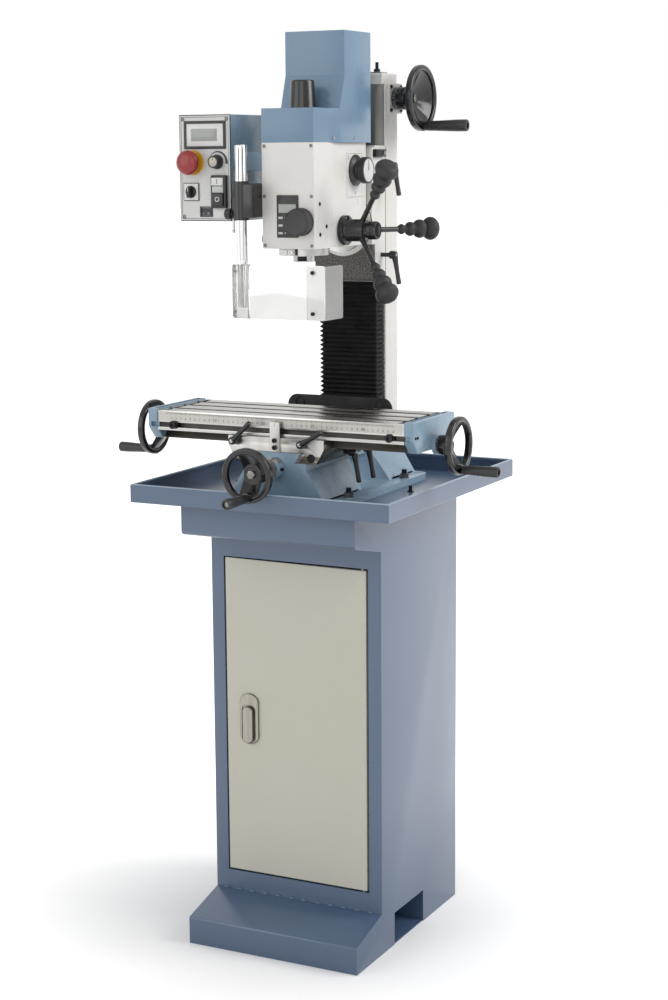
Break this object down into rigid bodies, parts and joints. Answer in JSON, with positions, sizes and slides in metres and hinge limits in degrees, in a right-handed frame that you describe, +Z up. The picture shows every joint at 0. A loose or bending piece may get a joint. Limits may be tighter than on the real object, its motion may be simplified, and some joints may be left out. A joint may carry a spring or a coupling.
{
  "type": "mill drill",
  "caption": "Dovetail-column milling and drilling machine with cross table, tilting head and guard, on a cabinet stand with a chip tray.",
  "frame": {"origin": "on the floor straight below the spindle axis, on the underside of the stand", "axes": "+Z up, +X to the operator's right when facing the machine, +Y from the operator towards the column"},
  "size_m": [0.7816, 0.6718, 1.687],
  "materials": {
    "blue_paint": "smooth light blue enamel",
    "cover_blue": "light blue enamel",
    "beige_paint": "beige enamel, faint orange peel",
    "white_paint": "warm white enamel",
    "black_enamel": "glossy black",
    "black_plastic": "moulded black",
    "black_rubber": "matt",
    "ground_steel": "ground",
    "bright_chrome": "polished",
    "machined_iron": "machined",
    "cast_grey": "as cast",
    "bronze": "machined bronze",
    "clear_plastic": "clear polycarbonate",
    "red_plastic": "glossy red",
    "white_plastic": "white"
  },
  "bodies": {
    "frame": {"stand": "blue_paint", "chip_tray": "blue_paint", "base": "blue_paint", "base_studs": "ground_steel", "column": "white_paint", "column_cap": "white_paint", "z_bearing": "white_paint", "way_cover": "black_rubber", "bellows": "black_rubber"},
    "door": {"door": "beige_paint", "lock_plate": "bright_chrome"},
    "door_lock": {"lock_lever": "bright_chrome"},
    "saddle": {"saddle": "machined_iron", "feed_nuts": "bronze", "saddle_gibs": "ground_steel", "stop_bracket": "ground_steel"},
    "cross_screw": {"y_screw": "ground_steel", "y_wheel": "black_enamel"},
    "y_handle": {"y_handle": "black_plastic"},
    "table": {"table": "machined_iron", "end_brackets": "blue_paint"},
    "table_screw": {"x_screw": "ground_steel", "x_wheels": "black_enamel"},
    "x_handle_left": {"x_handle_left": "black_plastic"},
    "x_handle_right": {"x_handle_right": "black_plastic"},
    "carriage": {"z_saddle": "white_paint", "z_nut": "bronze", "swivel_plate": "cast_grey"},
    "raise_screw": {"z_screw": "ground_steel"},
    "raise_wheel": {"z_shaft": "ground_steel", "z_wheel": "black_enamel"},
    "z_handle": {"z_handle": "black_plastic"},
    "head": {"head_casting": "white_paint", "head_cover": "cover_blue", "drawbar_cap": "black_enamel", "motor": "cast_grey", "drive_belt": "black_rubber", "control_box": "blue_paint", "guard_bracket": "black_plastic"},
    "motor_rotor": {"motor_pulley": "ground_steel"},
    "drive_sleeve": {"drive_pulley": "ground_steel"},
    "quill": {"quill": "ground_steel"},
    "spindle": {"spindle": "ground_steel"},
    "capstan": {"capstan": "black_enamel"},
    "gear_selector": {"gear_selector": "black_plastic"},
    "fine_feed_knob": {"fine_feed_knob": "black_plastic"},
    "estop_button": {"estop_button": "red_plastic"},
    "speed_knob": {"speed_knob": "black_plastic"},
    "mode_switch": {"mode_switch": "black_plastic"},
    "start_button": {"start_button": "black_plastic"},
    "stop_button": {"stop_button": "white_plastic"},
    "power_rocker": {"power_rocker": "black_plastic"},
    "guard_post": {"guard_post": "bright_chrome"},
    "guard_pane": {"guard_pane": "clear_plastic"},
    "x_lock_left": {"x_lock_left": "black_plastic"},
    "x_lock_right": {"x_lock_right": "black_plastic"},
    "y_lock_front": {"y_lock_front": "black_plastic"},
    "y_lock_rear": {"y_lock_rear": "black_plastic"},
    "z_lock_upper": {"z_lock_upper": "black_plastic"},
    "z_lock_lower": {"z_lock_lower": "black_plastic"}
  },
  "joints": [
    {"name": "door_swing", "type": "hinge", "parent": "frame", "child": "door", "pos_m": [0.136, -0.043, 0.42], "axis": [0, 0, 1], "range_deg": [0, 110]},
    {"name": "door_lock_turn", "type": "hinge", "parent": "door", "child": "door_lock", "pos_m": [-0.097, -0.055, 0.422], "axis": [0, -1, 0], "range_deg": [0, 90]},
    {"name": "cross_feed_turn", "type": "hinge", "parent": "frame", "child": "cross_screw", "pos_m": [0, -0.15, 0.916], "axis": [0, 1, 0], "range_deg": [-10830, 8960]},
    {"name": "cross_slide", "type": "slide", "parent": "frame", "child": "saddle", "axis": [0, 1, 0], "range_m": [-0.075, 0.062]},
    {"name": "cross_handle_turn", "type": "hinge", "parent": "cross_screw", "child": "y_handle", "pos_m": [0, -0.25, 0.8765], "axis": [0, 1, 0], "continuous": true},
    {"name": "table_feed_turn", "type": "hinge", "parent": "table", "child": "table_screw", "pos_m": [0, -0.021, 0.961], "axis": [1, 0, 0], "range_deg": [-20200, 20200]},
    {"name": "table_slide", "type": "slide", "parent": "saddle", "child": "table", "axis": [1, 0, 0], "range_m": [-0.14, 0.14]},
    {"name": "right_handle_turn", "type": "hinge", "parent": "table_screw", "child": "x_handle_right", "pos_m": [0.35, -0.021, 0.9185], "axis": [1, 0, 0], "continuous": true},
    {"name": "left_handle_turn", "type": "hinge", "parent": "table_screw", "child": "x_handle_left", "pos_m": [-0.35, -0.021, 0.9185], "axis": [1, 0, 0], "continuous": true},
    {"name": "raise_turn", "type": "hinge", "parent": "frame", "child": "raise_wheel", "pos_m": [0.1, 0.252, 1.571], "axis": [1, 0, 0], "range_deg": [-14880, 9030]},
    {"name": "raise_screw_turn", "type": "hinge", "parent": "frame", "child": "raise_screw", "pos_m": [0, 0.252, 1.3], "axis": [0, 0, 1], "range_deg": [-14880, 9030]},
    {"name": "head_raise", "type": "slide", "parent": "frame", "child": "carriage", "axis": [0, 0, 1], "range_m": [-0.165, 0.1], "deforming": ["bellows"]},
    {"name": "raise_handle_turn", "type": "hinge", "parent": "raise_wheel", "child": "z_handle", "pos_m": [0.2, 0.252, 1.5195], "axis": [1, 0, 0], "continuous": true},
    {"name": "head_tilt", "type": "hinge", "parent": "carriage", "child": "head", "pos_m": [0, 0.15, 1.34], "axis": [0, 1, 0], "range_deg": [-45, 45]},
    {"name": "capstan_turn", "type": "hinge", "parent": "head", "child": "capstan", "pos_m": [0.06, 0.0555, 1.332], "axis": [1, 0, 0], "range_deg": [0, 163.6]},
    {"name": "quill_feed", "type": "slide", "parent": "head", "child": "quill", "axis": [0, 0, -1], "range_m": [0, 0.05], "stiffness_N_per_m": 450, "springref_m": -0.1},
    {"name": "spindle_spin", "type": "hinge", "parent": "quill", "child": "spindle", "pos_m": [0, 0, 1.3], "axis": [0, 0, 1], "continuous": true},
    {"name": "drive_sleeve_spin", "type": "hinge", "parent": "head", "child": "drive_sleeve", "pos_m": [0, 0, 1.45], "axis": [0, 0, 1], "continuous": true},
    {"name": "motor_spin", "type": "hinge", "parent": "head", "child": "motor_rotor", "pos_m": [0, 0.101, 1.45], "axis": [0, 0, 1], "continuous": true},
    {"name": "gear_select_turn", "type": "hinge", "parent": "head", "child": "gear_selector", "pos_m": [0.06, 0.105, 1.439], "axis": [1, 0, 0], "range_deg": [0, 90]},
    {"name": "fine_feed_turn", "type": "hinge", "parent": "head", "child": "fine_feed_knob", "pos_m": [0.027, -0.07, 1.35], "axis": [0, 1, 0], "continuous": true},
    {"name": "speed_turn", "type": "hinge", "parent": "head", "child": "speed_knob", "pos_m": [-0.143, -0.06, 1.456], "axis": [0, 1, 0], "range_deg": [0, 270]},
    {"name": "mode_turn", "type": "hinge", "parent": "head", "child": "mode_switch", "pos_m": [-0.1975, -0.06, 1.4025], "axis": [0, 1, 0], "range_deg": [-45, 45]},
    {"name": "estop_press", "type": "slide", "parent": "head", "child": "estop_button", "axis": [0, 1, 0], "range_m": [0, 0.004], "stiffness_N_per_m": 500},
    {"name": "start_press", "type": "slide", "parent": "head", "child": "start_button", "axis": [0, 1, 0], "range_m": [0, 0.003], "stiffness_N_per_m": 400},
    {"name": "stop_press", "type": "slide", "parent": "head", "child": "stop_button", "axis": [0, 1, 0], "range_m": [0, 0.003], "stiffness_N_per_m": 400},
    {"name": "power_rock", "type": "hinge", "parent": "head", "child": "power_rocker", "pos_m": [-0.167, -0.058, 1.367], "axis": [1, 0, 0], "range_deg": [0, 20]},
    {"name": "guard_lift", "type": "slide", "parent": "head", "child": "guard_post", "axis": [0, 0, -1], "range_m": [-0.075, 0]},
    {"name": "guard_swing", "type": "hinge", "parent": "guard_post", "child": "guard_pane", "pos_m": [-0.081, -0.085, 1.25], "axis": [0, 0, 1], "range_deg": [-110, 0]},
    {"name": "left_table_lock", "type": "hinge", "parent": "saddle", "child": "x_lock_left", "pos_m": [-0.083, -0.118, 0.961], "axis": [0, -1, 0], "range_deg": [-25, 25]},
    {"name": "right_table_lock", "type": "hinge", "parent": "saddle", "child": "x_lock_right", "pos_m": [0.055, -0.118, 0.961], "axis": [0, -1, 0], "range_deg": [-25, 25]},
    {"name": "front_cross_lock", "type": "hinge", "parent": "saddle", "child": "y_lock_front", "pos_m": [0.1, -0.01, 0.935], "axis": [1, 0, 0], "range_deg": [-45, 45]},
    {"name": "rear_cross_lock", "type": "hinge", "parent": "saddle", "child": "y_lock_rear", "pos_m": [0.1, 0.05, 0.935], "axis": [1, 0, 0], "range_deg": [-45, 45]},
    {"name": "upper_head_lock", "type": "hinge", "parent": "carriage", "child": "z_lock_upper", "pos_m": [0.08, 0.2, 1.446], "axis": [1, 0, 0], "range_deg": [-70, 10]},
    {"name": "lower_head_lock", "type": "hinge", "parent": "carriage", "child": "z_lock_lower", "pos_m": [0.08, 0.2, 1.281], "axis": [1, 0, 0], "range_deg": [-70, 10]}
  ],
  "couplings": [
    {"joint": "cross_feed_turn", "follows": "cross_slide", "rad_per_m": 2513.3},
    {"joint": "table_feed_turn", "follows": "table_slide", "rad_per_m": 2513.3},
    {"joint": "raise_turn", "follows": "head_raise", "rad_per_m": 1570.8},
    {"joint": "raise_screw_turn", "follows": "head_raise", "rad_per_m": 1570.8},
    {"joint": "quill_feed", "follows": "capstan_turn", "m_per_rad": 0.0175},
    {"joint": "drive_sleeve_spin", "follows": "spindle_spin", "ratio": 1},
    {"joint": "motor_spin", "follows": "spindle_spin", "ratio": 1.8571}
  ]
}
